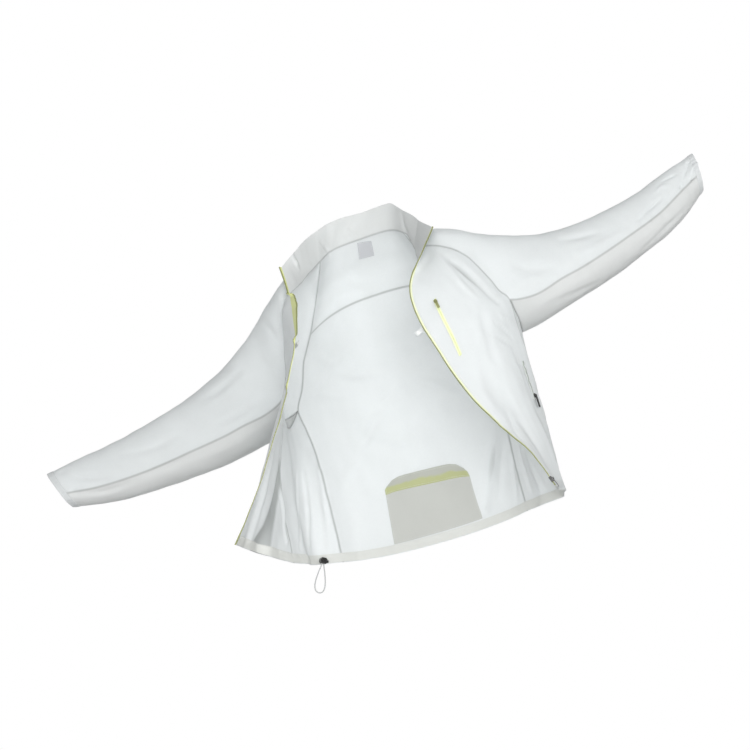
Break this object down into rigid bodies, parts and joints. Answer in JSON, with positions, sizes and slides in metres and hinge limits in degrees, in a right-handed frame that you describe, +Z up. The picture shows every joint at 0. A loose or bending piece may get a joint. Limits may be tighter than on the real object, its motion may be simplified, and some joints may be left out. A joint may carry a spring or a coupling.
{
  "type": "sun protection jacket",
  "caption": "Light full-zip sun jacket with stand collar and raglan sleeves, worn open and filled out, with a chest pocket, side pocket, inner hem pocket and hem cord lock.",
  "frame": {"origin": "the middle of the neck opening, where the wearer's neck passes through and carries the jacket", "axes": "+Z up along the wearer's body, -Y the way the wearer faces, +X towards the wearer's left; both sleeves are spread roughly along X"},
  "size_m": [1.4751, 0.4061, 0.7654],
  "materials": {
    "shell_fabric": "light woven sun fabric, matt, thin enough to let light through",
    "mesh_fabric": "beige-grey mesh, matt",
    "pocket_mouth_band": "darker elastic edge",
    "label_fabric": "plain woven label",
    "front_zip_tape": "yellow-green coil zip on tape",
    "chest_zip_tape": "yellow-green coil zip on tape",
    "side_zip_tape": "pale tape",
    "slider_metal": "black, satin",
    "pull_plastic": "black, satin",
    "snap_plastic": "white",
    "lock_plastic": "black, satin",
    "cord": "round elastic cord, light grey"
  },
  "bodies": {
    "jacket": {"back": "shell_fabric", "yoke": "shell_fabric", "side_right": "shell_fabric", "side_left": "shell_fabric", "front_right": "shell_fabric", "front_left": "shell_fabric", "sleeve_upper_right": "shell_fabric", "sleeve_upper_left": "shell_fabric", "sleeve_under_right": "shell_fabric", "sleeve_under_left": "shell_fabric", "cuff_right": "shell_fabric", "cuff_left": "shell_fabric", "collar": "shell_fabric", "hem_band": "mesh_fabric", "zip_right": "front_zip_tape", "zip_left": "front_zip_tape", "slider_main": "slider_metal", "chest_zip": "chest_zip_tape", "chest_slider": "slider_metal", "side_zip": "side_zip_tape", "side_slider": "slider_metal", "hem_pocket": "mesh_fabric", "pocket_mouth": "pocket_mouth_band", "neck_label": "label_fabric", "tab_right": "shell_fabric", "tab_left": "shell_fabric", "snap_right": "snap_plastic", "snap_left": "snap_plastic", "cord_lock": "lock_plastic", "draw_cord": "cord"},
    "front_pull": {"pull_main": "pull_plastic"},
    "chest_pocket_pull": {"chest_pull": "pull_plastic"},
    "side_pocket_pull": {"side_pull": "pull_plastic"},
    "plunger": {"lock_plunger": "lock_plastic"}
  },
  "joints": [
    {"name": "front_pull_hinge", "type": "hinge", "parent": "jacket", "child": "front_pull", "pos_m": [0.2299, -0.24862, -0.58649], "axis": [-0.2278, -0.9618, 0.152], "range_deg": [0, 165]},
    {"name": "chest_pocket_pull_hinge", "type": "hinge", "parent": "jacket", "child": "chest_pocket_pull", "pos_m": [0.10184, -0.14937, -0.18426], "axis": [-0.9816, -0.1178, -0.1502], "range_deg": [0, 165]},
    {"name": "side_pocket_pull_hinge", "type": "hinge", "parent": "jacket", "child": "side_pocket_pull", "pos_m": [0.25304, -0.07964, -0.40735], "axis": [-0.398, -0.9173, -0.0061], "range_deg": [0, 165]},
    {"name": "cord_lock_plunger", "type": "slide", "parent": "jacket", "child": "plunger", "axis": [-0.7899, -0.4765, 0.386], "range_m": [0, 0.0025], "stiffness_N_per_m": 400}
  ]
}
